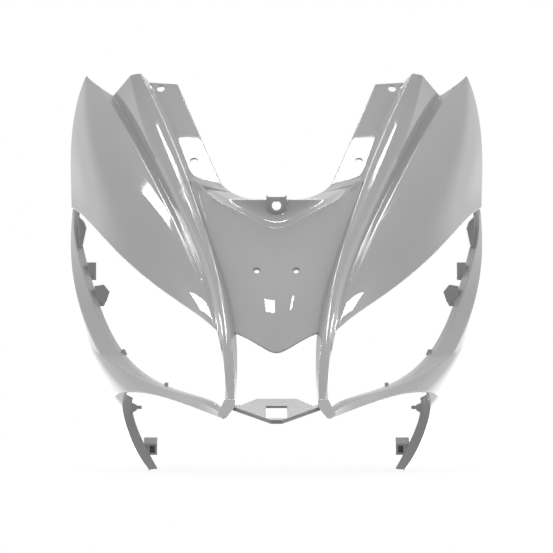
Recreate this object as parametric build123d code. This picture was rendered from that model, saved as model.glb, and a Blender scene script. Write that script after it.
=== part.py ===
from build123d import *
import math
import os
import numpy as np

# Overall size, millimetres
HALF_WIDTH = 223.0  # centre plane to the outermost point of a wing
DEPTH = 380.0  # nose to the rear edges of the wings
HEIGHT = 418.0  # ridge tips to the ends of the arms

# Skin
WALL = 2.6  # moulded wall
WING_CROWN = 16.0  # how far the middle of a wing is drawn out
PANEL_CROWN = 5.0  # the same for the centre panel
RIDGE_ROUND = 0.16  # crown of the ridge face for each unit of its width
PILLAR_TOP = 0.79  # place along the ridge where the lamp openings begin
ELBOW = 0.6  # place along the lamp opening where the arm branches off
FLANK_SPLIT = 0.3  # place along the flank where the arm branches off
PANEL_CUT = 0.25  # place along the panel's top edge where the recess begins
FLOOR_FALL = 9.0  # fall of the recess floor from its wall to the panel's edge
FLOOR_FOLD = 0.85  # how tightly the recess floor folds into its wall

# Windscreen holes, as places across and along each flange arm
SCREEN_HOLE = 8.5
SCREEN_HOLE_PLACES = ((0.33, 0.085), (0.38, 0.83))

# Badge holes in the centre panel
BADGE_HOLE = 5.2
BADGE_SPACING = 40.0
BADGE_PLACE = 0.33

# Centre boss: the front of its bore is the origin
BORE = 9.5
COLLAR = 15.6
COLLAR_RISE = 1.2
BOSS_LENGTH = 12.0
TONGUE_WIDTH = 21.0
TONGUE_THICK = 5.0
TONGUE_TOP = 9.0
EAR = 2.2

# Foot cups that take the ends of the pillars and the lower bars
FOOT_LEAN = 45.0
FOOT_STEP = 1.2  # how far its face stands out from the end of the pillar
FOOT_DEPTH = 17.0
FOOT_OUTLINE = ((-8.8, 2.6), (-16.4, -12.8), (-10.3, -16.8), (-7.0, -15.6), (1.6, -5.0), (1.6, 2.6))

# Cross plate between the feet
PLATE_SLOPE = 32.0
PLATE_REACH = 22.9  # how far its front edge is ahead of the pillars' ends
PLATE_DROP = 16.47  # how far its front edge is below them
PLATE_GRIP = 8.0  # how far its necks run past the pillars' ends, through the feet
PLATE_NOSE_HALF = 5.5
PLATE_END = 28.5
NECK_WIDTH = 4.8
NECK_LENGTH = 5.4  # how far the necks show beside the pillars' ends
PLATE_BACK_HALF = 19.5
PLATE_BACK = 37.8
LIP_DROP = 4.5
CLIP_HOLE_WIDTH = 21.0
CLIP_HOLE_LENGTH = 21.5
CLIP_HOLE_SETBACK = 3.5

# Tabs and clips moulded on the inner edges: outlines seen from the front, from a point on the edge
CLIP_WALL = 2.4
GUSSET_PLACE = 0.12
GUSSET_OUTLINE = ((-3.2, 21.4), (3.2, 15.0), (5.9, 7.5), (2.1, -10.7), (-1.5, -12.8))
GUSSET_DEPTH = 22.0
LUG_PLACE = 0.27
LUG_OUTLINE = ((-3.0, 10.0), (6.5, 10.0), (6.5, -9.0), (-3.0, -9.0))
LUG_DEPTH = 7.0
HOOK_PLACE = 0.37
HOOK_OUTLINE = ((-3.5, 11.6), (6.5, 13.2), (12.9, 5.3), (9.7, -4.2), (6.5, -10.0), (2.3, -9.5), (-2.5, 1.0))
HOOK_DEPTH = 9.0
STOP_PLACE = 0.585
STOP_OUTLINE = ((-3.0, 3.5), (0.5, 3.5), (3.2, -2.5), (-1.0, -3.0))
STOP_DEPTH = 6.0
STUD_PLACE = 0.77
STUD_OUTLINE = ((-2.0, 2.5), (2.0, 2.5), (2.0, -3.0), (-2.0, -3.0))
STUD_DEPTH = 5.0
PIN = 3.6
PIN_LENGTH = 5.0
PIN_PLACE = 0.18
PIN_TAB_OUTLINE = ((-3.0, 6.0), (4.5, 2.5), (4.5, -3.0), (-2.5, -7.0))
SOCKET_PLACE = 0.79
SOCKET_WIDTH = 14.0
SOCKET_HEIGHT = 18.0
SOCKET_DEPTH = 13.0
SOCKET_SLOPE = 6.0  # how far its top falls towards the front
SOCKET_ROOM = 5.4

SCALE = np.array([HALF_WIDTH, DEPTH, HEIGHT]) / 100.0
FLIP = np.array([-1.0, 1.0, 1.0])


def line(*shares):
    """Bezier polygon of the smooth line through points given in percent of the overall size."""
    points = np.array(shares) * SCALE
    degree = len(points) - 1
    places = np.linspace(0.0, 1.0, degree + 1)
    basis = [
        [math.comb(degree, i) * s**i * (1.0 - s) ** (degree - i) for i in range(degree + 1)]
        for s in places
    ]
    return np.linalg.solve(np.array(basis), points)


def both_sides(*shares):
    """A line that runs across the centre plane, given from one end to the middle."""
    return line(*shares, *[(-x, y, z) for x, y, z in shares[-2::-1]])


def straight(start, end):
    return np.array([start, end])


def split(rows, place):
    """Cut a Bezier polygon, or a net along its first index, in two at a place from 0 to 1."""
    level = np.array(rows)
    first = [level[0]]
    last = [level[-1]]
    while len(level) > 1:
        level = (1.0 - place) * level[:-1] + place * level[1:]
        first.append(level[0])
        last.append(level[-1])
    return np.array(first), np.array(last[::-1])


def spot(polygon, place):
    """The point at a place from 0 to 1 along a line."""
    return split(polygon, place)[1][0]


def raised(polygon, degree):
    """The same line with more control points."""
    rows = np.array(polygon)
    while len(rows) - 1 < degree:
        count = len(rows)
        share = (np.arange(1, count) / count)[:, None]
        rows = np.vstack([rows[:1], share * rows[:-1] + (1.0 - share) * rows[1:], rows[-1:]])
    return rows


def unit(vectors):
    return vectors / np.linalg.norm(vectors, axis=-1, keepdims=True)


def strip(left, right, crown=0.0):
    """Net of the band between two lines, rounded outward by a share of its width."""
    across = right - left
    middle = (left + right) / 2.0
    outward = unit(np.cross(np.gradient(middle, axis=0), across))
    width = np.linalg.norm(across, axis=1, keepdims=True)
    return np.array([left, middle + crown * width * outward, right])


def sheet(left, right, start=None, end=None, crown=None):
    """Net of the surface held by four lines; start and end run from left to right."""
    start = straight(left[0], right[0]) if start is None else start
    end = straight(left[-1], right[-1]) if end is None else end
    along = max(len(left), len(right)) - 1
    over = max(len(start), len(end)) - 1
    left, right = raised(left, along), raised(right, along)
    start, end = raised(start, over), raised(end, over)
    u = np.linspace(0.0, 1.0, over + 1)[:, None, None]
    v = np.linspace(0.0, 1.0, along + 1)[None, :, None]
    sides = (1.0 - u) * left[None] + u * right[None]
    ends = (1.0 - v) * start[:, None] + v * end[:, None]
    near = (1.0 - v) * left[0] + v * left[-1]
    far = (1.0 - v) * right[0] + v * right[-1]
    net = sides + ends - (1.0 - u) * near - u * far
    if crown is not None:
        net = net + 16.0 * u * (1.0 - u) * v * (1.0 - v) * np.array(crown)
    return net


def halves(net, place):
    """Cut a net in two across its length."""
    return [part.transpose(1, 0, 2) for part in split(net.transpose(1, 0, 2), place)]


def mirrored(net):
    return net[::-1] * FLIP


def on(net, across, along):
    """Plane that touches a net's surface from outside, its local X across the band."""
    down = split(split(net, across)[1][0], along)[1]
    over = split([spot(polygon, along) for polygon in net], across)[1]
    normal = np.cross(down[1] - down[0], over[1] - over[0])
    return Plane(tuple(down[0]), tuple(over[1] - over[0]), tuple(normal))


def key(point):
    return tuple(np.floor(point * 1000.0 + 0.3719).astype(int))


def patch(net):
    return Face.make_bezier_surface([[tuple(point) for point in row] for row in net])


def skin(nets):
    """One solid of even wall behind a quilt of nets that share their edges."""
    normals = {}
    for net in nets:
        outward = unit(np.cross(np.gradient(net, axis=1), np.gradient(net, axis=0)))
        for point, normal in zip(net.reshape(-1, 3), outward.reshape(-1, 3)):
            normals.setdefault(key(point), []).append(normal)
    inward = {}
    for place, found in normals.items():
        inward[place] = -np.linalg.lstsq(np.array(found), np.full(len(found), WALL), rcond=0.25)[0]
    faces = []
    edges = {}
    for net in nets:
        inner = net + np.array([[inward[key(point)] for point in row] for row in net])
        faces += [patch(net), patch(inner)]
        for outside, inside in (
            (net[0], inner[0]),
            (net[-1], inner[-1]),
            (net[:, 0], inner[:, 0]),
            (net[:, -1], inner[:, -1]),
        ):
            name = frozenset([key(outside[0]), key(outside[-1])])
            edges.setdefault(name, []).append((outside, inside))
    faces += [patch(rows[0]) for rows in edges.values() if len(rows) == 1]
    return Solid(Shell(faces))


def plate(points, thickness, direction):
    """Flat plate from its corners, thickened along a direction."""
    return extrude(make_face(Polyline(*[tuple(point) for point in points], close=True)), thickness, direction)


def rib(anchor, outline, front, depth):
    """Prism seen from the front as an outline around an anchor point, running back from its face."""
    points = [(anchor[0] + x, anchor[1] + front, anchor[2] + z) for x, z in outline]
    return plate(points, depth, (0.0, 1.0, 0.0))


# Lines of the left half, in percent of half width, depth and height from the centre bore:
# wing and ridge from the tips down to the foot
wing_crest = line((-86.0, 46.3, 30.7), (-68.1, 30.5, 17.1), (-52.0, 11.3, 0.3), (-36.9, -6.3, -15.7),
                  (-26.9, -22.1, -31.4), (-23.1, -35.3, -46.9))
valley = line((-78.8, 43.7, 29.0), (-65.9, 32.9, 16.9), (-48.8, 12.9, 0.3), (-34.6, -5.5, -15.7),
              (-26.0, -22.6, -31.4), (-22.3, -36.1, -47.0))
ridge = line((-70.1, 39.7, 33.6), (-60.8, 27.9, 17.0), (-45.9, 10.8, 0.3), (-32.0, -7.6, -15.7),
             (-24.8, -24.5, -31.5), (-21.9, -37.6, -47.1))
crest = line((-65.0, 38.7, 34.5), (-49.2, 23.2, 17.1), (-36.8, 6.3, 0.2), (-27.6, -10.3, -15.9),
             (-20.9, -26.1, -31.6), (-19.1, -39.5, -47.4))
inner_foot = line((-62.4, 42.9, 33.2), (-46.1, 27.4, 16.8), (-34.2, 10.3, 0.0), (-23.8, -6.6, -16.1),
                  (-18.0, -22.6, -32.1), (-18.0, -36.3, -47.8))
wing_side = split(wing_crest, PILLAR_TOP)[0]
wing_edge = line((-92.2, 51.3, 34.3), (-97.2, 53.4, 26.9), (-99.7, 54.2, 17.9), (-100.0, 53.4, 8.8),
                 (-99.3, 50.0, 0.2))
wing_top = line((-92.2, 51.3, 34.3), (-89.1, 49.2, 32.7), (-86.0, 46.3, 30.7))
lamp_top = line((-99.3, 50.0, 0.2), (-86.0, 28.4, -5.5), (-70.8, 13.7, -13.4), (-53.8, 1.1, -20.6),
                (-39.5, -10.0, -25.7), tuple(wing_side[-1] / SCALE))
wing_quilt = [sheet(wing_edge, wing_side, wing_top, lamp_top, (-0.6 * WING_CROWN, -0.8 * WING_CROWN, 0.0))]
wing_quilt += halves(strip(wing_crest, valley), PILLAR_TOP)
wing_quilt += halves(strip(valley, ridge), PILLAR_TOP)
wing_quilt += halves(strip(ridge, crest, RIDGE_ROUND), PILLAR_TOP)
wing_quilt += halves(strip(crest, inner_foot), PILLAR_TOP)

# Cheek and bar round the lamp opening, from the wing down and in to the foot
lamp_side = line((-95.3, 44.7, 2.6), (-91.7, 42.4, -12.0), (-83.7, 29.7, -24.7), (-69.8, 12.1, -37.3),
                 (-46.5, -12.1, -44.7), (-24.0, -35.3, -48.9))
reveal = line((-96.9, 47.6, 2.9), (-94.9, 40.3, -12.3), (-86.4, 27.4, -25.0), (-71.9, 10.0, -37.6),
              (-47.0, -14.7, -45.0), (-24.2, -37.9, -49.1))
flank_top = line((-88.5, 39.5, -36.2), (-85.7, 20.8, -36.0), (-66.1, 0.8, -41.9), (-44.6, -18.7, -45.8),
                 (-24.2, -38.2, -50.3))
flank_low = line((-81.2, 27.9, -47.6), (-72.4, 5.2, -46.5), (-60.0, -6.6, -46.1), (-41.2, -22.6, -48.4),
                 (-24.2, -37.4, -51.2))
elbow_back = line((-81.2, 27.9, -47.6), (-86.0, 34.2, -42.2), (-88.5, 39.5, -36.2))
degree = len(reveal) - 1
flank = sheet(raised(flank_low, degree), raised(flank_top, degree), elbow_back)
elbow, bar = halves(flank, FLANK_SPLIT)
bar_side = bar[-1]
strut_side = line((-97.8, 49.5, 3.0), (-98.8, 43.7, -12.2), (-93.6, 31.6, -25.0), tuple(bar_side[0] / SCALE))
strut_side = raised(strut_side, degree)
strut_reveal, bar_reveal = split(reveal, ELBOW)
strut_lamp, bar_lamp = split(lamp_side, ELBOW)

# Side return and arm
side_back = line((-99.0, 51.6, 3.1), (-95.7, 51.1, -10.6), (-92.0, 46.8, -23.6), (-88.5, 39.5, -36.2))
arm_back = line((-81.2, 27.9, -47.6), (-74.5, 19.5, -53.4), (-68.0, 13.7, -59.2), (-60.5, 10.0, -65.1))
arm_front = line(tuple(bar[0][0] / SCALE), (-71.1, 0.3, -49.9), (-69.5, 1.6, -54.1), (-66.0, 3.9, -59.4),
                 (-59.2, 6.8, -65.5))
arm_lip = line((-66.6, 1.6, -47.4), (-66.4, 1.6, -50.7), (-64.8, 2.9, -54.2), (-61.4, 5.0, -58.7),
               (-55.0, 7.9, -65.3))
cheek_quilt = [elbow, bar, strip(strut_side, strut_reveal), strip(bar_side, bar_reveal)]
cheek_quilt += [strip(strut_reveal, strut_lamp), strip(bar_reveal, bar_lamp)]
cheek_quilt.append(sheet(side_back, strut_side, None, elbow[-1]))
cheek_quilt.append(sheet(arm_back, arm_front, elbow[0]))
cheek_quilt.append(sheet(arm_front, arm_lip))

# Centre panel, recess above it and windscreen flange
panel_top = both_sides((-40.3, 11.8, 6.1), (-30.8, 5.3, 2.8), (-20.4, 0.4, -0.6), (-9.3, -2.4, -3.8),
                       (0.0, -3.6, -5.6))
panel_low = both_sides((-19.8, -22.6, -31.1), (-11.8, -26.3, -32.8), (-4.6, -28.3, -34.9), (0.0, -28.6, -35.7))
panel_side = line((-40.3, 11.8, 6.1), (-34.4, 3.4, -4.0), (-27.5, -6.3, -13.9), (-22.9, -14.7, -22.7),
                  (-19.8, -22.6, -31.1))
screen_out = line((-60.9, 41.1, 32.3), (-55.7, 34.7, 25.1), (-48.5, 27.4, 17.0), (-41.0, 17.4, 7.4))
screen_in = line((-47.4, 39.7, 31.7), (-42.1, 34.2, 25.4), (-33.7, 24.2, 15.1), (-25.9, 15.3, 5.9))
shoulder_out = line((-41.0, 17.4, 7.4), (-31.9, 10.5, 4.5), (-22.9, 4.2, 1.6))
shoulder_in = line((-25.9, 15.3, 5.9), (-21.6, 12.4, 3.8), (-15.5, 8.7, 2.3))
shelf_out = both_sides((-22.9, 4.2, 1.6), (-12.2, 1.8, 1.5), (0.0, 0.8, 1.5))
shelf_in = both_sides((-15.5, 8.7, 2.3), (-8.5, 7.4, 1.8), (0.0, 6.8, 1.7))
panel = sheet(panel_side, panel_side * FLIP, panel_top, panel_low, (0.0, -0.8 * PANEL_CROWN, 0.6 * PANEL_CROWN))
panel_left, panel_rest = split(panel, PANEL_CUT)
panel_mid = split(panel_rest, (1.0 - 2.0 * PANEL_CUT) / (1.0 - PANEL_CUT))[0]
rim_left, rim_mid = panel_left[:, 0], panel_mid[:, 0]
shoulder_out = raised(shoulder_out, len(rim_left) - 1)
shelf_out = raised(shelf_out, len(rim_mid) - 1)
fold = np.column_stack([shelf_out[:, 0], shelf_out[:, 1], rim_mid[:, 2] + FLOOR_FALL])
fold[[0, -1]] = (rim_mid[[0, -1]] + shelf_out[[0, -1]]) / 2.0
recess = np.array([
    rim_mid,
    rim_mid + FLOOR_FOLD * (fold - rim_mid),
    shelf_out + FLOOR_FOLD * (fold - shelf_out),
    shelf_out,
])
screen_arm = sheet(screen_out, screen_in)
nose_half = [panel_left, sheet(rim_left, shoulder_out, None, recess[:, 0]), sheet(shoulder_out, shoulder_in), screen_arm]
nose_quilt = [panel_mid, recess, sheet(shelf_out, shelf_in)]
nose_quilt += nose_half + [mirrored(net) for net in nose_half]

# Foot cup at the end of the pillar
lean = math.radians(FOOT_LEAN)
foot_facing = np.array([0.0, -math.cos(lean), math.sin(lean)])
foot_plane = Plane(tuple(crest[-1] + FOOT_STEP * foot_facing), (1.0, 0.0, 0.0), tuple(foot_facing))
foot_face = make_face(Polyline(*[(x, z / math.cos(lean)) for x, z in FOOT_OUTLINE], close=True))
foot_room = offset(foot_face, -WALL, kind=Kind.INTERSECTION)
foot = extrude(foot_plane * foot_face, FOOT_DEPTH, (0.0, 1.0, 0.0))
foot_hollow = extrude(foot_plane * foot_room, FOOT_DEPTH, (0.0, 1.0, 0.0))
foot -= Pos(0.0, WALL / math.cos(lean), 0.0) * foot_hollow

# Tabs on the edge of the lamp opening
tabs = [
    rib(spot(lamp_side, GUSSET_PLACE), GUSSET_OUTLINE, -0.6 * GUSSET_DEPTH, GUSSET_DEPTH),
    rib(spot(lamp_side, LUG_PLACE), LUG_OUTLINE, -CLIP_WALL, LUG_DEPTH),
    rib(spot(lamp_side, HOOK_PLACE), HOOK_OUTLINE, -CLIP_WALL, HOOK_DEPTH),
    rib(spot(lamp_side, STOP_PLACE), STOP_OUTLINE, -CLIP_WALL, STOP_DEPTH),
    rib(spot(lamp_side, STUD_PLACE), STUD_OUTLINE, -CLIP_WALL, STUD_DEPTH),
]

# Locating pin and clip socket on the arm
pin_root = spot(arm_lip, PIN_PLACE)
tabs.append(rib(pin_root, PIN_TAB_OUTLINE, -CLIP_WALL / 4.0, PIN))
pin_tip = pin_root + np.array([PIN_TAB_OUTLINE[1][0] + PIN_LENGTH, PIN / 2.0 - CLIP_WALL / 4.0, 0.0])
pin = Plane(tuple(pin_tip), z_dir=(-1.0, 0.0, 0.0)) * Cylinder(
    PIN / 2.0, PIN_LENGTH + CLIP_WALL, align=(Align.CENTER, Align.CENTER, Align.MIN))
socket_at = spot(arm_lip, SOCKET_PLACE) + np.array([SOCKET_WIDTH / 2.0 - CLIP_WALL, CLIP_WALL, 0.0])
socket_half = SOCKET_HEIGHT / 2.0
socket_side = [(0.0, -socket_half), (0.0, socket_half - SOCKET_SLOPE)]
socket_side += [(SOCKET_DEPTH, socket_half), (SOCKET_DEPTH, -socket_half)]
socket_left = socket_at - np.array([SOCKET_WIDTH / 2.0, 0.0, 0.0])
socket = plate([socket_left + np.array([0.0, y, z]) for y, z in socket_side], SOCKET_WIDTH, (1.0, 0.0, 0.0))
room_height = SOCKET_HEIGHT - SOCKET_SLOPE - 2.0 * CLIP_WALL
room_at = socket_at + np.array([(SOCKET_WIDTH - SOCKET_ROOM) / 2.0 - CLIP_WALL, 0.0, -SOCKET_SLOPE / 2.0])
room_face = Plane(tuple(room_at), (1.0, 0.0, 0.0), (0.0, -1.0, 0.0)) * Rectangle(SOCKET_ROOM, room_height)
socket_room = extrude(room_face, CLIP_WALL) + extrude(room_face, CLIP_WALL - SOCKET_DEPTH)

# Cross plate with its front lip and clip hole
slope = math.radians(PLATE_SLOPE)
plate_nose = (0.0, crest[-1][1] - PLATE_REACH, crest[-1][2] - PLATE_DROP)
plate_plane = Plane(plate_nose, (1.0, 0.0, 0.0), (0.0, -math.sin(slope), math.cos(slope)))
end_half = PLATE_GRIP - crest[-1][0]
neck_half = -crest[-1][0] - NECK_LENGTH
neck_front = PLATE_END * (neck_half - PLATE_NOSE_HALF) / (end_half - PLATE_NOSE_HALF)
front_edge = [(-end_half, PLATE_END), (-PLATE_NOSE_HALF, 0.0), (PLATE_NOSE_HALF, 0.0), (end_half, PLATE_END)]
back_half = [(end_half, PLATE_END + NECK_WIDTH), (neck_half, neck_front + NECK_WIDTH), (PLATE_BACK_HALF, PLATE_BACK)]
back_edge = back_half + [(-x, y) for x, y in back_half[::-1]]
plate_face = make_face(Polyline(*front_edge, *back_edge, close=True))
plate_face -= Pos(0.0, CLIP_HOLE_SETBACK + CLIP_HOLE_LENGTH / 2.0) * Rectangle(CLIP_HOLE_WIDTH, CLIP_HOLE_LENGTH)
lip_face = make_face(Polyline(*front_edge, *[(x, y + WALL) for x, y in front_edge[::-1]], close=True))
cross_plate = extrude(plate_plane * plate_face, -WALL) + extrude(plate_plane * lip_face, -LIP_DROP)

# Centre boss on the recess wall
front = Plane.XZ
half_tongue = TONGUE_WIDTH / 2.0
tongue_face = Circle(half_tongue)
tongue_face += make_face(Polyline(
    (-half_tongue, 0.0), (half_tongue, 0.0), (half_tongue, TONGUE_TOP + EAR), (half_tongue - EAR, TONGUE_TOP),
    (EAR - half_tongue, TONGUE_TOP), (-half_tongue, TONGUE_TOP + EAR), close=True))
boss = Pos(0.0, COLLAR_RISE, 0.0) * extrude(front * tongue_face, -TONGUE_THICK)
boss += extrude(front * Circle(COLLAR / 2.0), -BOSS_LENGTH)

half = skin(wing_quilt) + skin(cheek_quilt) + foot + pin + socket
for tab in tabs:
    half += tab
half -= socket_room
body = skin(nose_quilt) + half + mirror(half, Plane.YZ) + cross_plate + boss

# Holes
body -= extrude(front * Circle(BORE / 2.0), BOSS_LENGTH, both=True)
badge_plane = on(panel, 0.5, BADGE_PLACE)
for side in (-1.0, 1.0):
    badge_hole = badge_plane * Pos(side * BADGE_SPACING / 2.0, 0.0, 0.0) * Cylinder(BADGE_HOLE / 2.0, 40.0)
    body -= badge_hole
for across, along in SCREEN_HOLE_PLACES:
    hole = on(screen_arm, across, along) * Cylinder(SCREEN_HOLE / 2.0, 12.0)
    body = body - hole - mirror(hole, Plane.YZ)

os.makedirs("parts", exist_ok=True)
export_step(body, "parts/fairing_shell.step")
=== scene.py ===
import math
import bmesh
import bpy
import numpy as np
from mathutils import Matrix, Vector


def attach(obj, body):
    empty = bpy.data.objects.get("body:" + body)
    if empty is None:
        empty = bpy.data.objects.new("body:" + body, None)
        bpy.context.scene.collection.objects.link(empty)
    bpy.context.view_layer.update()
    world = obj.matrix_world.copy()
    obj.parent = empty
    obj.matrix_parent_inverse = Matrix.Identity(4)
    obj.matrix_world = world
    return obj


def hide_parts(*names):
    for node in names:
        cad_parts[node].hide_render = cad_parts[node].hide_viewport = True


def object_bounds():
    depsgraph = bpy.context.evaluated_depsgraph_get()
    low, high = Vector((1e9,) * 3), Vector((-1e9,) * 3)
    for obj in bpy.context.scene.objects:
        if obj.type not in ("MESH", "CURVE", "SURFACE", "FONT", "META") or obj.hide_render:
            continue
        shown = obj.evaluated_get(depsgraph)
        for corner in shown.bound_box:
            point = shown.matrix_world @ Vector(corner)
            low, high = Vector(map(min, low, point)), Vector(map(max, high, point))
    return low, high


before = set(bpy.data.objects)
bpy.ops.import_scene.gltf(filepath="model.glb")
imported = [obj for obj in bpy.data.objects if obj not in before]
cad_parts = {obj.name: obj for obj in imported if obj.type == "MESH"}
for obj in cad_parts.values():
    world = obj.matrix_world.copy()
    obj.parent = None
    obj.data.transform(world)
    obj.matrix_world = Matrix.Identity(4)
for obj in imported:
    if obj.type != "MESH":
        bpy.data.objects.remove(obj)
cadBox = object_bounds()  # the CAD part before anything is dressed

scene = bpy.context.scene
mm = 0.001
flip = np.array([-1.0, 1.0, 1.0])


# Lines and surfaces: control polygons and nets in millimetres

shell = {
    "halfWidth": 223.0,
    "depth": 380.0,
    "height": 418.0,
    "wall": 2.6,
    "wingCrown": 16.0,  # how far the wing swells in its middle
    "panelCrown": 5.0,
    "ridgeRound": 0.16,  # swelling of the ridge as a share of its width
    "pillarTop": 0.79,  # where the lamp openings begin along the ridge
    "elbow": 0.6,  # where the arm branches off along the lamp opening
    "flankSplit": 0.3,  # and along the flank
    "panelCut": 0.25,  # where the recess begins along the panel's top edge
    "floorFall": 9.0,  # how far the fold of the recess lies above its front rim
    "floorFold": 0.85,  # sharpness of that fold
    "edgeRound": 1.3,  # width of the round that the mould leaves on sharp edges
    "roundFrom": 9.0,  # bend of an edge in degrees from which it is rounded
    "roundFull": 22.0,  # and from which it has the full round
    "roundRoom": 0.42,  # most that the round takes of the edges beside it
    "sharpFrom": 32.0,  # bend in degrees that still shades as an edge
}
percent = np.array([shell["halfWidth"], shell["depth"], shell["height"]]) / 100.0


def curveWeights(degree, places):
    return np.array([
        [math.comb(degree, i) * s**i * (1.0 - s) ** (degree - i) for i in range(degree + 1)]
        for s in places
    ])


def line(*shares):  # smooth line through points in percent of half width, depth and height
    points = np.array(shares) * percent
    degree = len(points) - 1
    return np.linalg.solve(curveWeights(degree, np.linspace(0.0, 1.0, degree + 1)), points)


def bothSides(*shares):
    return line(*shares, *[(-x, y, z) for x, y, z in shares[-2::-1]])


def split(rows, place):  # the two parts of a line or net that is cut at this place
    level = np.array(rows)
    first = [level[0]]
    last = [level[-1]]
    while len(level) > 1:
        level = (1.0 - place) * level[:-1] + place * level[1:]
        first.append(level[0])
        last.append(level[-1])
    return np.array(first), np.array(last[::-1])


def spot(polygon, place):  # point at this place along a line
    return split(polygon, place)[1][0]


def raised(polygon, degree):  # the same line with more control points
    rows = np.array(polygon)
    while len(rows) - 1 < degree:
        count = len(rows)
        share = (np.arange(1, count) / count)[:, None]
        rows = np.vstack([rows[:1], share * rows[:-1] + (1.0 - share) * rows[1:], rows[-1:]])
    return rows


def unit(vectors):
    return vectors / np.linalg.norm(vectors, axis=-1, keepdims=True)


def strip(left, right, crown=0.0):  # band between two lines, swollen in the middle
    across = right - left
    middle = (left + right) / 2.0
    outward = unit(np.cross(np.gradient(middle, axis=0), across))
    width = np.linalg.norm(across, axis=1, keepdims=True)
    return np.array([left, middle + crown * width * outward, right])


def sheet(left, right, start=None, end=None, crown=None):  # surface between four lines
    start = np.array([left[0], right[0]]) if start is None else start
    end = np.array([left[-1], right[-1]]) if end is None else end
    along = max(len(left), len(right)) - 1
    over = max(len(start), len(end)) - 1
    left, right = raised(left, along), raised(right, along)
    start, end = raised(start, over), raised(end, over)
    u = np.linspace(0.0, 1.0, over + 1)[:, None, None]
    v = np.linspace(0.0, 1.0, along + 1)[None, :, None]
    sides = (1.0 - u) * left[None] + u * right[None]
    ends = (1.0 - v) * start[:, None] + v * end[:, None]
    near = (1.0 - v) * left[0] + v * left[-1]
    far = (1.0 - v) * right[0] + v * right[-1]
    net = sides + ends - (1.0 - u) * near - u * far
    if crown is not None:
        swell = 16.0 * u * (1.0 - u) * v * (1.0 - v)  # 1 in the middle, 0 at the sides
        net = net + swell * np.array(crown)
    return net


def halves(net, place):  # a net that is cut across its length
    return [part.transpose(1, 0, 2) for part in split(net.transpose(1, 0, 2), place)]


def mirrored(net):
    return net[::-1] * flip


def frameOn(net, across, along):  # point on a net, its sideways direction and its normal
    down = split(split(net, across)[1][0], along)[1]
    over = split([spot(polygon, along) for polygon in net], across)[1]
    normal = unit(np.cross(down[1] - down[0], over[1] - over[0]))
    side = unit(over[1] - over[0])
    return down[0], side, normal


def sampled(net, across, along):  # grid of points on a net
    over = curveWeights(len(net) - 1, np.linspace(0.0, 1.0, across + 1))
    down = curveWeights(len(net[0]) - 1, np.linspace(0.0, 1.0, along + 1))
    return np.einsum("ai,ijk,bj->abk", over, net, down)


# Finishes

finish = {
    "gloss": (0.375, 0.376, 0.38),  # grey gloss plastic, linear
    "glossDeep": (0.352, 0.353, 0.358),
    "back": (0.335, 0.336, 0.34),  # the satin side that the mould's core leaves
    "backDeep": (0.30, 0.301, 0.306),
    "glossRough": (0.035, 0.075),  # where it is clean and where it is hazy
    "backRough": (0.30, 0.42),
    "peelSize": 0.0065,  # width of the faint ripple in the gloss
    "peelDepth": 0.000004,
    "grainSize": 0.0007,
    "grainDepth": 0.00002,
    "speckleSize": 0.0011,
    "refraction": 1.52,
}


def nodeIn(tree, kind, **values):
    node = tree.nodes.new(kind)
    for name, value in values.items():
        if hasattr(node, name):
            setattr(node, name, value)
        else:
            node.inputs[name.replace("_", " ")].default_value = value
    return node


def feed(tree, socket, value):  # a plain number is set, anything else is linked
    if isinstance(value, float):
        socket.default_value = value
    else:
        tree.links.new(value, socket)


def counted(tree, operation, *values, clamp=False):
    node = nodeIn(tree, "ShaderNodeMath", operation=operation, use_clamp=clamp)
    for socket, value in zip(node.inputs, values):
        feed(tree, socket, value)
    return node.outputs[0]


def newGroup(name, inputs, outputs):
    tree = bpy.data.node_groups.new(name, "ShaderNodeTree")
    for label, kind, value in inputs:
        tree.interface.new_socket(label, in_out="INPUT", socket_type=kind).default_value = value
    for label, kind in outputs:
        tree.interface.new_socket(label, in_out="OUTPUT", socket_type=kind)
    return tree, tree.nodes.new("NodeGroupInput"), tree.nodes.new("NodeGroupOutput")


def surfaceNoise(tree, size, detail, roughness=0.5):
    place = nodeIn(tree, "ShaderNodeTexCoord")
    noise = nodeIn(tree, "ShaderNodeTexNoise", Detail=detail, Roughness=roughness)
    if isinstance(size, float):
        noise.inputs["Scale"].default_value = 1.0 / size
    else:
        tree.links.new(counted(tree, "DIVIDE", 1.0, size), noise.inputs["Scale"])
    tree.links.new(place.outputs["Object"], noise.inputs["Vector"])
    return noise.outputs["Fac"]


def mapped(tree, value, low, high, first, last):  # smooth step from first to last
    node = nodeIn(tree, "ShaderNodeMapRange", interpolation_type="SMOOTHSTEP")
    tree.links.new(value, node.inputs["Value"])
    for name, number in (("From Min", low), ("From Max", high), ("To Min", first), ("To Max", last)):
        feed(tree, node.inputs[name], number)
    return node.outputs["Result"]


def toneGroup():  # slow flow marks of the melt and a fine speckle in the grey
    tree, given, result = newGroup(
        "flowTone",
        [
            ("Colour", "NodeSocketColor", (0.4, 0.4, 0.4, 1.0)),
            ("Deep", "NodeSocketColor", (0.3, 0.3, 0.3, 1.0)),
            ("Flow Size", "NodeSocketFloat", 0.12),
        ],
        [("Colour", "NodeSocketColor")],
    )
    flow = mapped(tree, surfaceNoise(tree, given.outputs["Flow Size"], 3.0), 0.35, 0.7, 0.0, 0.7)
    speckle = mapped(tree, surfaceNoise(tree, finish["speckleSize"], 2.0), 0.45, 0.75, 0.0, 0.3)
    mix = nodeIn(tree, "ShaderNodeMix", data_type="RGBA")
    tree.links.new(counted(tree, "ADD", flow, speckle, clamp=True), mix.inputs["Factor"])
    tree.links.new(given.outputs["Colour"], mix.inputs["A"])
    tree.links.new(given.outputs["Deep"], mix.inputs["B"])
    tree.links.new(mix.outputs["Result"], result.inputs["Colour"])
    return tree


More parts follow.
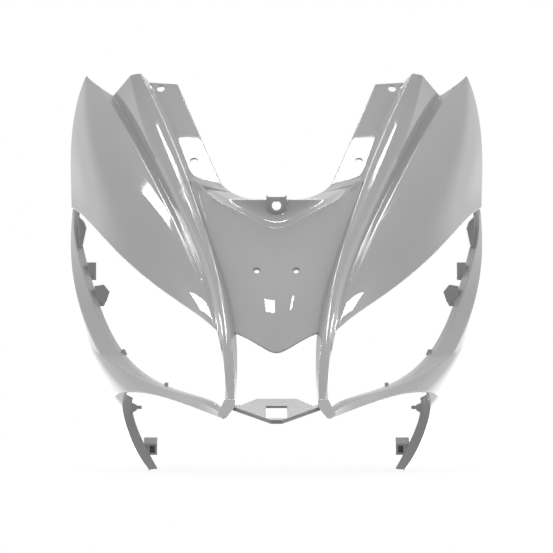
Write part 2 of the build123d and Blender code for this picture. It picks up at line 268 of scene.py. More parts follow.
def handlingGroup():  # faint haze where hands and wrapping have touched the plastic
    tree, given, result = newGroup(
        "handlingHaze",
        [
            ("Clean", "NodeSocketFloat", 0.05),
            ("Hazy", "NodeSocketFloat", 0.1),
            ("Patch Size", "NodeSocketFloat", 0.05),
        ],
        [("Roughness", "NodeSocketFloat")],
    )
    haze = surfaceNoise(tree, given.outputs["Patch Size"], 5.0, 0.6)
    rough = mapped(tree, haze, 0.42, 0.75, given.outputs["Clean"], given.outputs["Hazy"])
    tree.links.new(rough, result.inputs["Roughness"])
    return tree


def rippleGroup():  # height of a moulded surface: ripple in the gloss, grain on the back
    tree, given, result = newGroup(
        "mouldRipple",
        [("Size", "NodeSocketFloat", 0.005), ("Depth", "NodeSocketFloat", 0.00001)],
        [("Height", "NodeSocketFloat")],
    )
    wave = surfaceNoise(tree, given.outputs["Size"], 1.0)
    tree.links.new(counted(tree, "MULTIPLY", wave, given.outputs["Depth"]), result.inputs["Height"])
    return tree


groups = {"tone": toneGroup(), "haze": handlingGroup(), "ripple": rippleGroup()}


def placed(tree, name, **values):
    node = nodeIn(tree, "ShaderNodeGroup", node_tree=groups[name])
    for label, value in values.items():
        node.inputs[label.replace("_", " ")].default_value = value
    return node


def plastic(name, colour, deep, rough, size, depth):
    material = bpy.data.materials.new(name)
    material.use_nodes = True
    tree = material.node_tree
    shader = tree.nodes["Principled BSDF"]
    tone = placed(tree, "tone", Colour=(*colour, 1.0), Deep=(*deep, 1.0))
    haze = placed(tree, "haze", Clean=rough[0], Hazy=rough[1])
    ripple = placed(tree, "ripple", Size=size, Depth=depth)
    bump = nodeIn(tree, "ShaderNodeBump", Strength=1.0, Distance=1.0)
    tree.links.new(tone.outputs["Colour"], shader.inputs["Base Color"])
    tree.links.new(haze.outputs["Roughness"], shader.inputs["Roughness"])
    tree.links.new(ripple.outputs["Height"], bump.inputs["Height"])
    tree.links.new(bump.outputs["Normal"], shader.inputs["Normal"])
    shader.inputs["IOR"].default_value = finish["refraction"]
    return material


finishes = [
    plastic("glossGrey", finish["gloss"], finish["glossDeep"], finish["glossRough"],
            finish["peelSize"], finish["peelDepth"]),
    plastic("satinGrey", finish["back"], finish["backDeep"], finish["backRough"],
            finish["grainSize"], finish["grainDepth"]),
]
print("finishes", [material.name for material in finishes])


# Meshes


weld = {
    "steps": 1000.0,  # places told apart in a millimetre
    "shift": 0.3719,  # keeps round measures off the limits between two places
}


def key(point):  # the same for points that are one corner of the mesh
    return tuple(np.floor(point * weld["steps"] + weld["shift"]).astype(int))


def wallOffsets(grids):  # steps from the seen side of the wall to its inner side
    normals = {}
    for grid in grids:
        outward = np.cross(np.gradient(grid, axis=1), np.gradient(grid, axis=0))
        for point, normal in zip(grid.reshape(-1, 3), outward.reshape(-1, 3)):
            if np.linalg.norm(normal) > 1e-9:  # a corner drawn together has no direction of its own
                normals.setdefault(key(point), []).append(unit(normal))
    return {
        place: -np.linalg.lstsq(np.array(found), np.full(len(found), shell["wall"]), rcond=0.25)[0]
        for place, found in normals.items()
    }


def newObject(name, mesh):
    piece = bpy.data.objects.new(name, mesh)
    scene.collection.objects.link(piece)
    return piece


def applied(piece):  # its modifiers turned into plain mesh
    mesh = bpy.data.meshes.new_from_object(piece.evaluated_get(bpy.context.evaluated_depsgraph_get()))
    piece.modifiers.clear()
    piece.data = mesh
    return piece


def meshOf(name, points, faces, slots):
    mesh = bpy.data.meshes.new(name)
    mesh.from_pydata([tuple(p) for p in np.array(points) * mm], [], faces)
    for material in finishes:
        mesh.materials.append(material)
    mesh.polygons.foreach_set("material_index", slots)
    mesh.update()
    return mesh


def quilt(name, patches):  # hollow wall over patches that share their borders
    grids = [sampled(*patch) for patch in patches]
    inward = wallOffsets(grids)
    places = {}
    outside = []
    inside = []
    faces = []
    for (_, across, along), front in zip(patches, grids):
        index = np.zeros((across + 1, along + 1), int)
        for i in range(across + 1):
            for j in range(along + 1):
                place = key(front[i, j])
                if place not in places:
                    places[place] = len(outside)
                    outside.append(front[i, j])
                    inside.append(front[i, j] + inward[place])
                index[i, j] = places[place]
        for i in range(across):
            for j in range(along):
                ring = [index[i, j], index[i, j + 1], index[i + 1, j + 1], index[i + 1, j]]
                faces.append([int(n) for n in dict.fromkeys(ring)])
    count = len(outside)
    used = {(a, b) for face in faces for a, b in zip(face, face[1:] + face[:1])}
    backs = [[n + count for n in reversed(face)] for face in faces]
    rims = [[b, a, a + count, b + count] for a, b in used if (b, a) not in used]
    slots = [0] * len(faces) + [1] * len(backs) + [0] * len(rims)
    mesh = meshOf(name, outside + inside, faces + backs + sorted(rims), slots)
    return roundedEdges(newObject(name, mesh))


def roundedEdges(piece):
    width = shell["edgeRound"] * mm
    least, full = shell["roundFrom"], shell["roundFull"]
    edit = bmesh.new()
    edit.from_mesh(piece.data)
    weight = edit.edges.layers.float.new("bevel_weight_edge")
    for edge in edit.edges:
        if len(edge.link_faces) != 2:
            continue
        bend = math.degrees(edge.calc_face_angle(0.0))
        room = min(
            other.calc_length()
            for face in edge.link_faces
            for corner in edge.verts
            for other in corner.link_edges
            if other is not edge and face in other.link_faces
        )
        share = min(max((bend - least) / (full - least), 0.0), 1.0)
        edge[weight] = share * min(shell["roundRoom"] * room / width, 1.0)
    edit.to_mesh(piece.data)
    edit.free()
    bevel = piece.modifiers.new("rounded", "BEVEL")
    bevel.limit_method = "WEIGHT"
    bevel.width = width
    bevel.segments = 3
    bevel.use_clamp_overlap = False
    bevel.loop_slide = False
    return applied(piece)


# Wing and ridge

wingCrest = line((-86.0, 47.3, 31.6), (-68.4, 30.3, 17.0), (-51.7, 11.5, 0.45), (-37.1, -6.3, -15.8),
                 (-26.8, -22.1, -31.35), (-23.1, -35.3, -46.9))
valley = line((-78.8, 45.5, 29.0), (-65.6, 32.3, 16.8), (-48.8, 13.1, 0.4), (-34.6, -5.5, -15.8),
              (-26.0, -22.6, -31.4), (-22.3, -36.1, -47.0))
ridge = line((-70.1, 39.7, 34.0), (-60.8, 27.9, 17.0), (-45.9, 10.8, 0.3), (-32.0, -7.6, -15.7),
             (-24.8, -24.5, -31.5), (-21.9, -37.6, -47.1))
crest = line((-65.0, 38.7, 34.5), (-49.2, 23.2, 17.1), (-36.8, 6.3, 0.2), (-27.6, -10.3, -15.9),
             (-20.9, -26.1, -31.6), (-19.1, -39.5, -47.4))
innerFoot = line((-62.4, 42.9, 33.2), (-46.1, 27.4, 16.8), (-34.2, 10.3, 0.0), (-23.8, -6.6, -16.1),
                 (-18.0, -22.6, -32.1), (-18.0, -36.3, -47.8))
wingSide = split(wingCrest, shell["pillarTop"])[0]
wingEdge = line((-92.2, 51.3, 34.3), (-97.2, 53.4, 26.9), (-99.7, 54.2, 17.9), (-100.0, 53.4, 8.8),
                (-99.3, 50.0, 0.2))
wingTop = line((-92.2, 51.3, 34.3), (-89.1, 49.4, 33.0), (-86.0, 47.3, 31.6))
lampTop = line((-99.3, 50.0, 0.2), (-86.0, 28.4, -5.5), (-70.8, 13.7, -13.4), (-53.8, 1.1, -20.6),
               (-39.5, -10.0, -25.7), tuple(wingSide[-1] / percent))
wingCrown = np.array([-0.6, -0.8, 0.0]) * shell["wingCrown"]
wingFacets = {"across": 56, "along": 84, "ridge": 5, "pillar": 30}


def wingPatches():
    wing = sheet(wingEdge, wingSide, wingTop, lampTop, wingCrown)
    patches = [(wing, wingFacets["across"], wingFacets["along"])]
    for left, right, crown, across in (
        (wingCrest, valley, 0.0, 1),
        (valley, ridge, 0.0, 1),
        (ridge, crest, shell["ridgeRound"], wingFacets["ridge"]),
        (crest, innerFoot, 0.0, 1),
    ):
        upper, lower = halves(strip(left, right, crown), shell["pillarTop"])
        patches += [(upper, across, wingFacets["along"]), (lower, across, wingFacets["pillar"])]
    return patches


# Cheek, bar, side return and arm

lampSide = line((-95.3, 44.7, 2.6), (-91.7, 42.4, -12.0), (-83.7, 29.7, -24.7), (-69.8, 12.1, -37.3),
                (-46.5, -12.1, -44.7), (-24.0, -35.3, -48.9))
reveal = line((-96.9, 47.6, 2.9), (-94.9, 40.3, -12.3), (-86.4, 27.4, -25.0), (-71.9, 10.0, -37.6),
              (-47.0, -14.7, -45.0), (-24.2, -37.9, -49.1))
flankTop = line((-88.5, 39.5, -36.2), (-85.7, 20.8, -36.0), (-66.1, 0.8, -41.9), (-44.6, -18.7, -45.8),
                (-24.2, -38.2, -50.3))
flankLow = line((-81.2, 27.9, -47.6), (-72.4, 5.2, -46.5), (-60.0, -6.6, -46.1), (-41.2, -22.6, -48.4),
                (-24.2, -37.4, -51.2))
elbowBack = line((-81.2, 27.9, -47.6), (-86.0, 34.2, -42.2), (-88.5, 39.5, -36.2))
flank = sheet(raised(flankLow, len(reveal) - 1), raised(flankTop, len(reveal) - 1), elbowBack)
elbow, bar = halves(flank, shell["flankSplit"])
strutSide = line((-97.8, 49.5, 3.0), (-98.8, 43.7, -12.2), (-93.6, 31.6, -25.0),
                 tuple(bar[-1][0] / percent))
strutSide = raised(strutSide, len(reveal) - 1)
sideBack = line((-99.0, 51.6, 3.1), (-95.7, 51.1, -10.6), (-92.0, 46.8, -23.6), (-88.5, 39.5, -36.2))
armBack = line((-81.2, 27.9, -47.6), (-74.5, 19.5, -53.4), (-68.0, 13.7, -59.2), (-60.5, 10.0, -65.1))
armFront = line(tuple(bar[0][0] / percent), (-71.1, 0.3, -49.9), (-69.5, 1.6, -54.1), (-66.0, 3.9, -59.4),
                (-59.2, 6.8, -65.5))
armLip = line((-66.6, 1.6, -47.4), (-66.4, 1.6, -50.7), (-64.8, 2.9, -54.2), (-61.4, 5.0, -58.7),
              (-55.0, 7.9, -65.3))
cheekFacets = {"flank": 10, "elbow": 20, "bar": 40, "strut": 60, "arm": 32, "armLip": 2}


def cheekPatches():
    count = cheekFacets
    strutReveal, barReveal = split(reveal, shell["elbow"])
    strutLamp, barLamp = split(lampSide, shell["elbow"])
    return [
        (elbow, count["flank"], count["elbow"]),
        (bar, count["flank"], count["bar"]),
        (strip(strutSide, strutReveal), 1, count["strut"]),
        (strip(bar[-1], barReveal), 1, count["bar"]),
        (strip(strutReveal, strutLamp), 1, count["strut"]),
        (strip(barReveal, barLamp), 1, count["bar"]),
        (sheet(sideBack, strutSide, None, elbow[-1]), count["elbow"], count["strut"]),
        (sheet(armBack, armFront, elbow[0]), count["elbow"], count["arm"]),
        (sheet(armFront, armLip), count["armLip"], count["arm"]),
    ]


# Centre panel, recess and windscreen flange

panelTop = bothSides((-40.3, 11.8, 6.1), (-30.8, 5.3, 2.8), (-20.4, 0.4, -0.6), (-9.3, -2.4, -3.8),
                     (0.0, -3.6, -5.6))
panelLow = bothSides((-19.8, -22.6, -31.1), (-11.8, -26.3, -32.8), (-4.6, -28.3, -34.9), (0.0, -28.6, -35.7))
panelSide = line((-40.3, 11.8, 6.1), (-34.4, 3.4, -4.0), (-27.5, -6.3, -13.9), (-22.9, -14.7, -22.7),
                 (-19.8, -22.6, -31.1))
screenOut = line((-60.9, 41.1, 32.3), (-55.7, 34.7, 25.1), (-48.5, 27.4, 17.0), (-41.0, 17.4, 7.4))
screenIn = line((-47.4, 39.7, 31.7), (-42.1, 34.2, 25.4), (-33.7, 24.2, 15.1), (-25.9, 15.3, 5.9))
shoulderOut = line((-41.0, 17.4, 7.4), (-31.9, 10.5, 4.5), (-22.9, 4.2, 1.6))
shoulderIn = line((-25.9, 15.3, 5.9), (-21.6, 12.4, 3.8), (-15.5, 8.7, 2.3))
shelfOut = bothSides((-22.9, 4.2, 1.6), (-12.2, 1.8, 1.5), (0.0, 0.8, 1.5))
shelfIn = bothSides((-15.5, 8.7, 2.3), (-8.5, 7.4, 1.8), (0.0, 6.8, 1.7))
panelCrown = np.array([0.0, -0.8, 0.6]) * shell["panelCrown"]
panel = sheet(panelSide, panelSide * flip, panelTop, panelLow, panelCrown)
screenArm = sheet(screenOut, screenIn)
noseFacets = {"side": 22, "middle": 44, "down": 64, "recess": 18, "shelf": 8, "arm": 44}


def nosePatches():
    count = noseFacets
    cut = shell["panelCut"]
    panelLeft, panelRest = split(panel, cut)
    panelMid = split(panelRest, (1.0 - 2.0 * cut) / (1.0 - cut))[0]
    rimLeft, rimMid = panelLeft[:, 0], panelMid[:, 0]
    shoulderRim = raised(shoulderOut, len(rimLeft) - 1)
    shelfRim = raised(shelfOut, len(rimMid) - 1)
    fold = np.column_stack([shelfRim[:, 0], shelfRim[:, 1], rimMid[:, 2] + shell["floorFall"]])
    fold[[0, -1]] = (rimMid[[0, -1]] + shelfRim[[0, -1]]) / 2.0
    recess = np.array([
        rimMid,
        rimMid + shell["floorFold"] * (fold - rimMid),
        shelfRim + shell["floorFold"] * (fold - shelfRim),
        shelfRim,
    ])
    half = [
        (panelLeft, count["side"], count["down"]),
        (sheet(rimLeft, shoulderRim, None, recess[:, 0]), count["recess"], count["side"]),
        (sheet(shoulderRim, shoulderIn), count["shelf"], count["side"]),
        (screenArm, count["shelf"], count["arm"]),
    ]
    whole = [
        (panelMid, count["middle"], count["down"]),
        (recess, count["recess"], count["middle"]),
        (sheet(shelfRim, shelfIn), count["shelf"], count["middle"]),
    ]
    return whole + half + [(mirrored(net), across, along) for net, across, along in half]


# Small mouldings of the left half


def prism(name, points, along, radius, slot=1):  # an outline drawn out along one direction
    count = len(points)
    front = [np.array(p, float) for p in points]
    back = [p + np.array(along) for p in front]
    sides = [[i, (i + 1) % count, (i + 1) % count + count, i + count] for i in range(count)]
    faces = [list(range(count)), list(range(2 * count - 1, count - 1, -1))] + sides
    piece = newObject(name, meshOf(name, front + back, faces, [slot] * len(faces)))
    edit = bmesh.new()
    edit.from_mesh(piece.data)
    bmesh.ops.recalc_face_normals(edit, faces=edit.faces)
    edit.to_mesh(piece.data)
    edit.free()
    return softened(piece, radius) if radius else piece


def softened(piece, radius):
    bevel = piece.modifiers.new("softened", "BEVEL")
    bevel.limit_method = "ANGLE"
    bevel.angle_limit = math.radians(30.0)
    bevel.width = radius * mm
    bevel.segments = 2
    bevel.use_clamp_overlap = True
    return applied(piece)


def combined(base, operation, *others):
    for other in others:
        step = base.modifiers.new("join", "BOOLEAN")
        step.operation = operation
        step.solver = "MANIFOLD"
        step.object = other
    applied(base)
    for other in others:
        bpy.data.objects.remove(other)
    return base


def rib(name, anchor, outline, front, depth, radius):  # a tab that stands on its anchor
    points = [(anchor[0] + x, anchor[1] + front, anchor[2] + z) for x, z in outline]
    return prism(name, points, (0.0, depth, 0.0), radius)


def inset(outline, distance):  # the same outline, smaller by this distance all round
    points = np.array(outline)
    turn = np.sum(points[:, 0] * np.roll(points[:, 1], -1) - points[:, 1] * np.roll(points[:, 0], -1))
    points = points if turn > 0.0 else points[::-1]
    step = unit(np.roll(points, -1, axis=0) - points)
    inner = points + distance * np.column_stack([-step[:, 1], step[:, 0]])
    found = []
    for i in range(len(points)):
        a, b = inner[i - 1], inner[i]
        reach = np.linalg.solve(np.column_stack([step[i - 1], -step[i]]), b - a)[0]
        found.append(a + reach * step[i - 1])
    return found


def rod(name, start, axis, profile, segments=40, slot=1):  # round piece from radii and heights
    axis = unit(np.array(axis, float))
    side = unit(np.cross(axis, (0.0, 0.0, 1.0) if abs(axis[2]) < 0.9 else (1.0, 0.0, 0.0)))
    up = np.cross(axis, side)
    turns = np.linspace(0.0, 2.0 * math.pi, segments, endpoint=False)
    points = [
        np.array(start) + height * axis + radius * (math.cos(t) * side + math.sin(t) * up)
        for radius, height in profile
        for t in turns
    ]
    rings = len(profile)
    faces = [list(range(segments - 1, -1, -1)), list(range((rings - 1) * segments, rings * segments))]
    for r in range(rings - 1):
        for i in range(segments):
            j = (i + 1) % segments
            faces.append([r * segments + i, r * segments + j, (r + 1) * segments + j, (r + 1) * segments + i])
    return newObject(name, meshOf(name, points, faces, [slot] * len(faces)))


def drill(name, place, axis, hole, reach, chamfer):  # cutter of a hole with a chamfered mouth
    radius = hole / 2.0
    clear = 1.0  # how far the cone of the chamfer runs on outside
    wide = radius + chamfer + clear
    return rod(name, place, axis, [(radius, -reach), (radius, -chamfer), (wide, clear), (wide, reach)])


clips = {
    "wall": 2.4,
    "soft": 0.6,  # round of the tabs' edges
    # place along the lamp opening, outline seen from the front, depth and start of each tab
    "gusset": (0.12, ((-3.2, 21.4), (3.2, 15.0), (5.9, 7.5), (2.1, -10.7), (-1.5, -12.8)), 22.0, -13.2),
    "lug": (0.27, ((-3.0, 10.0), (6.5, 10.0), (6.5, -9.0), (-3.0, -9.0)), 7.0, -2.4),
    "hook": (0.37, ((-3.5, 11.6), (6.5, 13.2), (12.9, 5.3), (9.7, -4.2), (6.5, -10.0), (2.3, -9.5),
                    (-2.5, 1.0)), 9.0, -2.4),
    "stop": (0.585, ((-3.0, 3.5), (0.5, 3.5), (3.2, -2.5), (-1.0, -3.0)), 6.0, -2.4),
    "stud": (0.77, ((-2.0, 2.5), (2.0, 2.5), (2.0, -3.0), (-2.0, -3.0)), 5.0, -2.4),
    "pin": 3.6,
    "pinLength": 5.0,
    "pinPlace": 0.18,  # along the arm's lip
    "pinSoft": 0.5,
    "pinTab": ((-3.0, 6.0), (4.5, 2.5), (4.5, -3.0), (-2.5, -7.0)),
    "socketPlace": 0.79,
    "socketWidth": 14.0,
    "socketHeight": 18.0,
    "socketDepth": 13.0,
    "socketSlope": 6.0,  # how far its top falls towards the front
    "socketRoom": 5.4,
    "socketSoft": 0.7,
}


def clipPieces():
    pieces = []
    for name in ("gusset", "lug", "hook", "stop", "stud"):
        place, outline, depth, front = clips[name]
        pieces.append(rib(name, spot(lampSide, place), outline, front, depth, clips["soft"]))
    root = spot(armLip, clips["pinPlace"])
    front = -clips["wall"] / 4.0
    soft = clips["pinSoft"]
    pieces.append(rib("pinTab", root, clips["pinTab"], front, clips["pin"], soft))
    tip = root + np.array([clips["pinTab"][1][0] + clips["pinLength"], clips["pin"] / 2.0 + front, 0.0])
    radius = clips["pin"] / 2.0
    long = clips["pinLength"] + clips["wall"]
    profile = [(radius - soft, 0.0), (radius, soft), (radius, long)]
    pieces.append(rod("pin", tip, (-1.0, 0.0, 0.0), profile, 20))
    return pieces


def socketPieces():
    wide, high, deep, fall = [clips["socket" + size] for size in ("Width", "Height", "Depth", "Slope")]
    wall, room = clips["wall"], clips["socketRoom"]
    at = spot(armLip, clips["socketPlace"]) + np.array([wide / 2.0 - wall, wall, 0.0])
    side = [(0.0, -high / 2.0), (0.0, high / 2.0 - fall), (deep, high / 2.0), (deep, -high / 2.0)]
    left = at - np.array([wide / 2.0, 0.0, 0.0])
    ends = [left + np.array([0.0, y, z]) for y, z in side]
    block = prism("socket", ends, (wide, 0.0, 0.0), clips["socketSoft"])
    corner = at + np.array([wide / 2.0 - wall - room, -wall, wall - high / 2.0])
    tall = high - fall - 2.0 * wall
    ring = [corner + np.array([x, 0.0, z]) for x, z in ((0.0, 0.0), (room, 0.0), (room, tall), (0.0, tall))]
    return block, prism("socketRoom", ring, (0.0, deep, 0.0), 0.0)


foot = {
    "lean": 45.0,  # of its face, in degrees
    "step": 1.2,  # how far it stands out from the pillar
    "depth": 17.0,
    "soft": 0.9,
    "outline": ((-8.8, 2.6), (-16.4, -12.8), (-10.3, -16.8), (-7.0, -15.6), (1.6, -5.0), (1.6, 2.6)),
}


def footPiece():
    lean = math.radians(foot["lean"])
    facing = np.array([0.0, -math.cos(lean), math.sin(lean)])
    origin = crest[-1] + foot["step"] * facing
    up = np.array([0.0, math.sin(lean), math.cos(lean)])
    side = np.array([1.0, 0.0, 0.0])
    outline = [(x, z / math.cos(lean)) for x, z in foot["outline"]]
    back = (0.0, foot["depth"], 0.0)
    cup = prism("foot", [origin + x * side + v * up for x, v in outline], back, foot["soft"], 0)
    sunk = origin + np.array([0.0, shell["wall"] / math.cos(lean), 0.0])
    room = [sunk + x * side + v * up for x, v in inset(outline, shell["wall"])]
    return combined(cup, "DIFFERENCE", prism("footRoom", room, back, 0.0))


# Cross plate between the feet

plate = {
    "slope": 32.0,
    "reach": 22.9,  # how far its nose lies in front of the pillars' ends
    "drop": 16.47,  # and below them
    "grip": 8.0,  # how far it runs into the feet
    "noseHalf": 5.5,
    "end": 28.5,
    "neckWidth": 4.8,
    "neckLength": 5.4,
    "backHalf": 19.5,
    "back": 37.8,
    "lip": 4.5,
    "holeWidth": 21.0,
    "holeLength": 21.5,
    "holeSetback": 3.5,
    "holeCut": 9.0,  # reach of the cutter on both sides
    "soft": 0.7,
}


def platePiece():
    slope = math.radians(plate["slope"])
    origin = np.array([0.0, crest[-1][1] - plate["reach"], crest[-1][2] - plate["drop"]])
    side = np.array([1.0, 0.0, 0.0])
    up = np.array([0.0, math.cos(slope), math.sin(slope)])
    facing = np.array([0.0, -math.sin(slope), math.cos(slope)])
    endHalf = plate["grip"] - crest[-1][0]
    neckHalf = -crest[-1][0] - plate["neckLength"]
    nose, end, neck = plate["noseHalf"], plate["end"], plate["neckWidth"]
    neckFront = end * (neckHalf - nose) / (endHalf - nose)
    front = [(-endHalf, end), (-nose, 0.0), (nose, 0.0), (endHalf, end)]
    back = [(endHalf, end + neck), (neckHalf, neckFront + neck), (plate["backHalf"], plate["back"])]
    back = back + [(-x, v) for x, v in back[::-1]]

    def onPlate(outline, lift=0.0):
        return [origin + x * side + v * up + lift * facing for x, v in outline]

    top = prism("plate", onPlate(front + back), -shell["wall"] * facing, 0.0)
    lip = front + [(x, v + shell["wall"]) for x, v in front[::-1]]
    low, high = plate["holeSetback"], plate["holeSetback"] + plate["holeLength"]
    half = plate["holeWidth"] / 2.0
    hole = [(-half, low), (half, low), (half, high), (-half, high)]
    combined(top, "UNION", prism("lip", onPlate(lip), -plate["lip"] * facing, 0.0))
    cutter = prism("clipHole", onPlate(hole, plate["holeCut"]), -2.0 * plate["holeCut"] * facing, 0.0)
    combined(top, "DIFFERENCE", cutter)
    return softened(top, plate["soft"])


# Centre boss

boss = {
    "bore": 9.5,
    "collar": 15.6,
    "collarRound": 0.7,
    "collarStep": 0.2,
    "rise": 1.2,  # how far the collar stands out from the tongue
    "length": 12.0,
    "width": 21.0,
    "thick": 5.0,
    "top": 9.0,
    "ear": 2.2,
    "soft": 0.6,
}


def bossPieces():
    half, top, ear = boss["width"] / 2.0, boss["top"], boss["ear"]
    low = [(half * math.cos(t), half * math.sin(t)) for t in np.linspace(math.pi, 2.0 * math.pi, 25)]
    outline = low + [(half, top + ear), (half - ear, top), (ear - half, top), (-half, top + ear)]
    front = [(x, boss["rise"], z) for x, z in outline]
    tongue = prism("tongue", front, (0.0, boss["thick"], 0.0), boss["soft"])
    radius, turn, step = boss["collar"] / 2.0, boss["collarRound"], boss["collarStep"]
    profile = [(radius - turn, 0.0), (radius - step, step), (radius, turn), (radius, boss["length"])]
    return tongue, rod("collar", (0.0, 0.0, 0.0), (0.0, 1.0, 0.0), profile, 64)


# One moulding from all of them

holes = {
    "chamfer": 0.35,
    "boreChamfer": 0.5,
    "boreReach": 16.0,
    "screen": 8.5,
    "screenPlaces": ((0.33, 0.085), (0.38, 0.83)),  # across and along the flange arm
    "screenReach": 8.0,
    "badge": 5.2,
    "badgeSpacing": 40.0,
    "badgePlace": 0.33,  # down the panel
    "badgeReach": 20.0,
    "badgeSink": 0.15,  # the panel's bend takes the surface this far back at the holes
}


def drills():
    chamfer = holes["chamfer"]
    middle, forward = (0.0, 0.0, 0.0), (0.0, -1.0, 0.0)
    cutters = [drill("boreCut", middle, forward, boss["bore"], holes["boreReach"], holes["boreChamfer"])]
    place, side, normal = frameOn(panel, 0.5, holes["badgePlace"])
    for hand in (-1.0, 1.0):
        at = place + hand * holes["badgeSpacing"] / 2.0 * side - holes["badgeSink"] * normal
        cutters.append(drill("badgeCut", at, normal, holes["badge"], holes["badgeReach"], chamfer))
    for across, along in holes["screenPlaces"]:
        place, _, normal = frameOn(screenArm, across, along)
        for hand in (np.ones(3), flip):
            at, axis = place * hand, normal * hand
            cutters.append(drill("screenCut", at, axis, holes["screen"], holes["screenReach"], chamfer))
    return cutters


def tidied(piece, least=100, short=0.000005):  # no crumbs and no faces without width where pieces meet
    edit = bmesh.new()
    edit.from_mesh(piece.data)
    left = set(edit.verts)
    while left:
        island = set()
        edge = {next(iter(left))}
        while edge:
            island |= edge
            edge = {link.other_vert(corner) for corner in edge for link in corner.link_edges} - island
        left -= island
        if len(island) < least:
            bmesh.ops.delete(edit, geom=list(island), context="VERTS")
    bmesh.ops.dissolve_degenerate(edit, dist=short, edges=edit.edges)
    edit.to_mesh(piece.data)
    edit.free()


def otherSide(piece):  # its mirror image
    mesh = piece.data.copy()
    mesh.transform(Matrix.Scale(-1.0, 4, (1.0, 0.0, 0.0)))
    mesh.flip_normals()
    return newObject(piece.name + "Right", mesh)


def moulding():
    half = quilt("wing", wingPatches())
    socket, socketRoom = socketPieces()
    combined(half, "UNION", quilt("cheek", cheekPatches()), footPiece(), socket, *clipPieces())
    combined(half, "DIFFERENCE", socketRoom)
    print("half", len(half.data.polygons))
    whole = quilt("fairingShell", nosePatches())
    combined(whole, "UNION", half, otherSide(half), platePiece(), *bossPieces())
    combined(whole, "DIFFERENCE", *drills())
    tidied(whole)
    whole.data.polygons.foreach_set("use_smooth", [True] * len(whole.data.polygons))
    whole.data.set_sharp_from_angle(angle=math.radians(shell["sharpFrom"]))
    even = whole.modifiers.new("even", "WEIGHTED_NORMAL")
    even.keep_sharp = True
    even.weight = 70
    return whole


fairing = moulding()
print("moulding", len(fairing.data.polygons), "faces")
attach(fairing, "root")
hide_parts("fairing_shell")


# Camera, as the photograph is taken: straight from the front with a long lens

view = {
    "distance": 4.0,
    "height": -0.0731,
    "lens": 252.8,
    "sensor": 36.0,
    "farthest": 20.0,
}


def setCamera():
    data = bpy.data.cameras.new("camera")
    data.lens = view["lens"]
    data.sensor_width = view["sensor"]
    data.clip_end = view["farthest"]
    camera = bpy.data.objects.new("camera", data)
    camera.location = (0.0, -view["distance"], view["height"])
    camera.rotation_euler = (math.radians(90.0), 0.0, 0.0)
    scene.collection.objects.link(camera)
    scene.camera = camera


setCamera()


# Pale studio: white all round for the eye and the gloss, softer light from above, behind and both sides

studio = {
    "level": 0.8,  # plain brightness of the world for matt light
    "lean": (0.0, 0.45, 0.75),  # and how it grows towards the back and the top
    "sides": 0.4,  # and towards both sides
    "glints": (  # what the gloss mirrors beyond plain white: brightness, and ways in which it fades in
        (1.1, (((0.0, 0.0, 1.0), 0.5, 0.1), ((0.0, 1.0, 0.0), -0.1, 0.3), ((0.0, 1.0, 0.0), 0.9, 0.4))),
        (2.2, (((0.0, 0.0, 1.0), 0.08, -0.14), ((0.0, 1.0, 0.0), 0.0, 0.3))),
    ),
    "floorDrop": 0.0005,
    "floorSize": 1.6,
    "floorGlow": 0.8,
    "floorTone": (0.86, 0.86, 0.86),
    "flash": 16.0,  # brightness of the soft boxes, which show as white in the gloss
}

# place, facing, direction of its width, width and height, and whether a twin stands on the other side
softBoxes = {
    "wingBox": {"place": (-0.383, 0.028, 0.282), "facing": (0.742, -0.434, -0.51),
                "along": (-0.402, -0.898, 0.179), "size": (0.045, 0.107), "twin": False},
    "ridgeBox": {"place": (-1.059, -0.123, 1.254), "facing": (0.424, -0.371, -0.826),
                 "along": (-0.452, -0.877, 0.162), "size": (0.078, 0.206), "twin": True},
    "panelBox": {"place": (0.0129, -0.133, 0.0881), "facing": (-0.104, 0.276, -0.955),
                 "along": (1.0, 0.0, -0.1), "size": (0.0124, 0.03), "twin": False},
    "cornerBox": {"place": (-0.183, -0.033, -0.051), "facing": (0.923, -0.266, 0.279),
                  "along": (-0.018, 0.694, 0.72), "size": (0.019, 0.049), "twin": True},
    "edgeBox": {"place": (0.0, 0.15, 0.98), "facing": (0.0, -0.15, -0.98),
                "along": (1.0, 0.0, 0.0), "size": (0.26, 0.13), "twin": False},
    "flangeBox": {"place": (-0.109, 0.027, 0.322), "facing": (0.879, 0.181, -0.442),
                  "along": (0.131, -0.981, -0.14), "size": (0.078, 0.152), "twin": True},
}


def seenShare(tree):  # 1 for what the eye, the gloss and clear things see, 0 for matt light
    path = nodeIn(tree, "ShaderNodeLightPath")
    share = path.outputs["Is Camera Ray"]
    for kind in ("Is Glossy Ray", "Is Transmission Ray"):
        share = counted(tree, "MAXIMUM", share, path.outputs[kind])
    return share


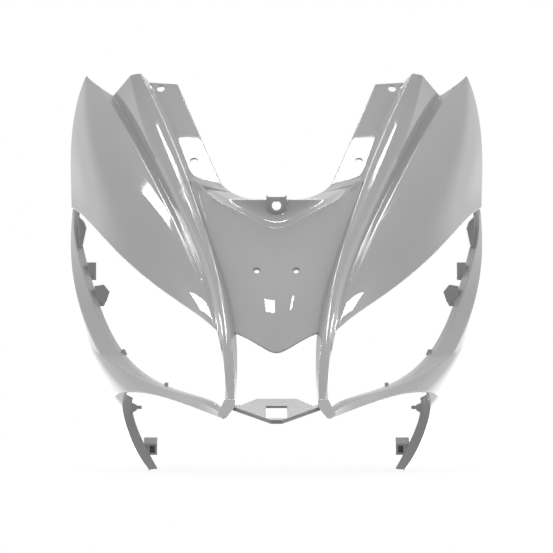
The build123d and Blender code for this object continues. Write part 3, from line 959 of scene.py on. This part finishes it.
def setWorld():
    world = bpy.data.worlds.new("studio")
    world.use_nodes = True
    scene.world = world
    tree = world.node_tree
    tree.nodes.clear()
    place = nodeIn(tree, "ShaderNodeTexCoord")
    path = nodeIn(tree, "ShaderNodeLightPath")

    def towards(way):
        share = nodeIn(tree, "ShaderNodeVectorMath", operation="DOT_PRODUCT")
        tree.links.new(place.outputs["Generated"], share.inputs[0])
        share.inputs[1].default_value = way
        return share.outputs["Value"]

    across = towards((1.0, 0.0, 0.0))
    matt = counted(tree, "ADD", towards(studio["lean"]), studio["level"])
    matt = counted(tree, "MULTIPLY_ADD", counted(tree, "MULTIPLY", across, across), studio["sides"], matt)
    strength = counted(tree, "MAXIMUM", matt, 0.0)
    gloss = 1.0
    for bright, fades in studio["glints"]:
        glint = bright
        for way, none, full in fades:
            glint = counted(tree, "MULTIPLY", glint, mapped(tree, towards(way), none, full, 0.0, 1.0))
        gloss = counted(tree, "ADD", glint, gloss)
    for kind, value in (("Is Glossy Ray", gloss), ("Is Transmission Ray", 1.0), ("Is Camera Ray", 1.0)):
        mix = nodeIn(tree, "ShaderNodeMix", data_type="FLOAT")
        tree.links.new(path.outputs[kind], mix.inputs["Factor"])
        tree.links.new(strength, mix.inputs["A"])
        feed(tree, mix.inputs["B"], value)
        strength = mix.outputs["Result"]
    shade = nodeIn(tree, "ShaderNodeBackground", Color=(1.0, 1.0, 1.0, 1.0))
    tree.links.new(strength, shade.inputs["Strength"])
    tree.links.new(shade.outputs[0], nodeIn(tree, "ShaderNodeOutputWorld").inputs["Surface"])


def setFloor():
    size = studio["floorSize"] / 2.0
    level = cadBox[0][2] - studio["floorDrop"]
    mesh = bpy.data.meshes.new("floor")
    corners = [(x * size, y * size, level) for x, y in ((-1, -1), (1, -1), (1, 1), (-1, 1))]
    mesh.from_pydata(corners, [], [[0, 1, 2, 3]])
    material = bpy.data.materials.new("paleFloor")
    material.use_nodes = True
    tree = material.node_tree
    tree.nodes.clear()
    share = counted(tree, "MULTIPLY", seenShare(tree), studio["floorGlow"])
    paint = nodeIn(tree, "ShaderNodeBsdfDiffuse", Color=(*studio["floorTone"], 1.0))
    glow = nodeIn(tree, "ShaderNodeEmission", Strength=1.0)
    mix = nodeIn(tree, "ShaderNodeMixShader")
    tree.links.new(share, mix.inputs[0])
    tree.links.new(paint.outputs[0], mix.inputs[1])
    tree.links.new(glow.outputs[0], mix.inputs[2])
    tree.links.new(mix.outputs[0], nodeIn(tree, "ShaderNodeOutputMaterial").inputs["Surface"])
    mesh.materials.append(material)
    floor = newObject("floor", mesh)
    floor.visible_diffuse = False  # the light from below stays as dim as the world's
    floor.visible_glossy = False  # and the gloss mirrors the white all round


def softBox(name, place, facing, along, width, height):
    data = bpy.data.lights.new(name, "AREA")
    data.shape = "RECTANGLE"
    data.size = width
    data.size_y = height
    data.energy = 4.0 * studio["flash"] * width * height  # power that gives its face this brightness
    light = bpy.data.objects.new(name, data)
    back = -Vector(facing).normalized()
    side = Vector(along)
    side = (side - side.dot(back) * back).normalized()
    turn = Matrix((side, back.cross(side), back)).transposed()
    light.matrix_world = Matrix.Translation(place) @ turn.to_4x4()
    light.visible_camera = False
    light.visible_diffuse = False
    scene.collection.objects.link(light)


def setLights():
    for name, box in softBoxes.items():
        ways = [box[part] for part in ("place", "facing", "along")]
        softBox(name, *ways, *box["size"])
        if box["twin"]:
            softBox(name + "Right", *[tuple(flip * way) for way in ways], *box["size"])


setWorld()
setFloor()
setLights()
print("studio", list(softBoxes))
scene.view_settings.view_transform = "Standard"
